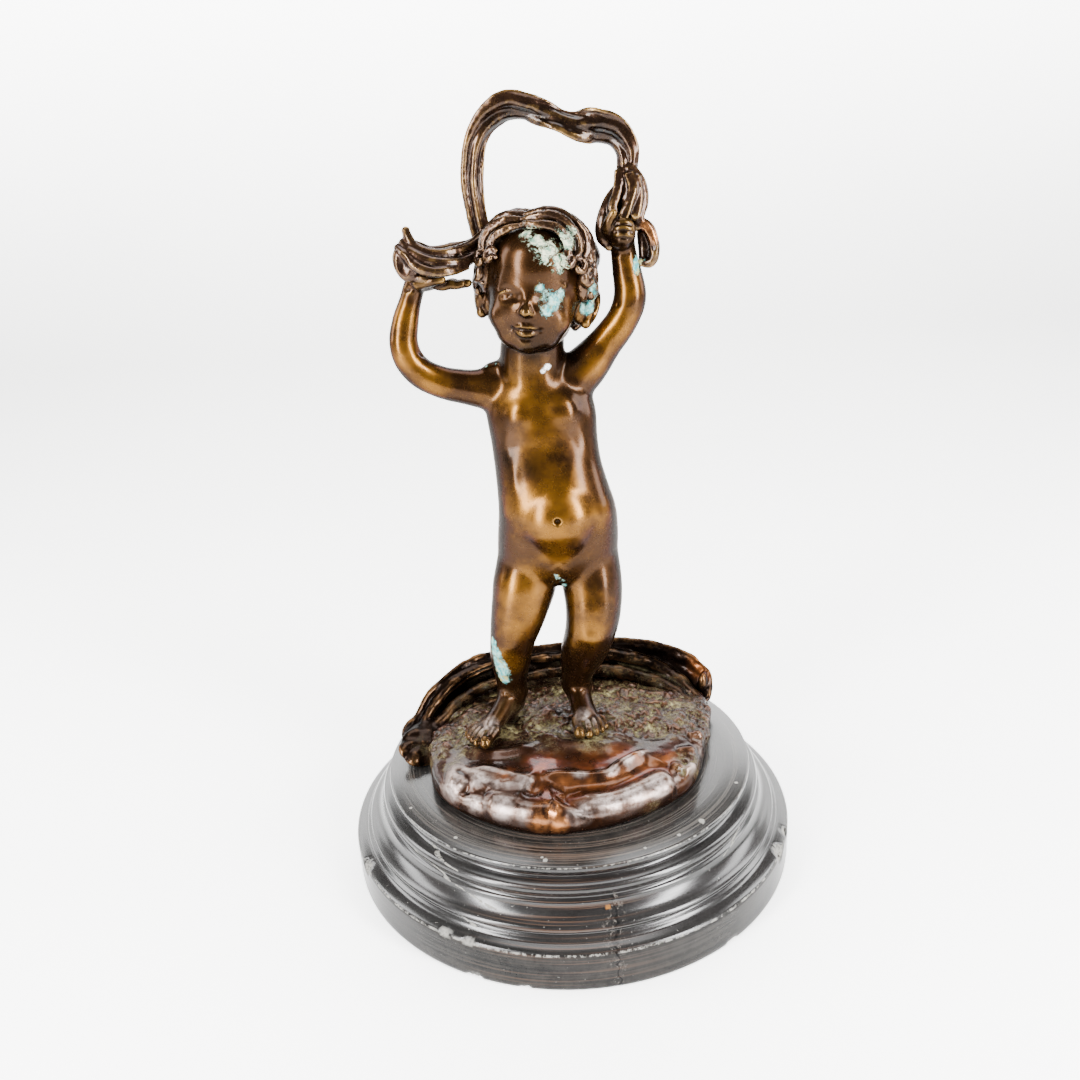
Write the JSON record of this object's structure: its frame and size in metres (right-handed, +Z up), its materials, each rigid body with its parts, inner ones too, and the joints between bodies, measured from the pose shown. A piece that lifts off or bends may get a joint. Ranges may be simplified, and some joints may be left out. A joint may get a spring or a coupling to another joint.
{
  "type": "bronze cherub statue",
  "caption": "Cast bronze cherub standing on rough ground with a scarf looped overhead, on a round turned black marble base.",
  "frame": {"origin": "centre of the underside of the marble base", "axes": "+Z up, -Y towards the cherub's front, +X to the cherub's left"},
  "size_m": [0.17, 0.17, 0.2728],
  "materials": {
    "patinated_bronze": "cast bronze with a glossy brown patina, golden where rubbed, with pale verdigris patches",
    "black_marble": "satin black marble with fine turning rings, pale scratches and chipped edges"
  },
  "bodies": {
    "root": {"bronze_cherub": "patinated_bronze", "marble_base": "black_marble"}
  },
  "joints": []
}
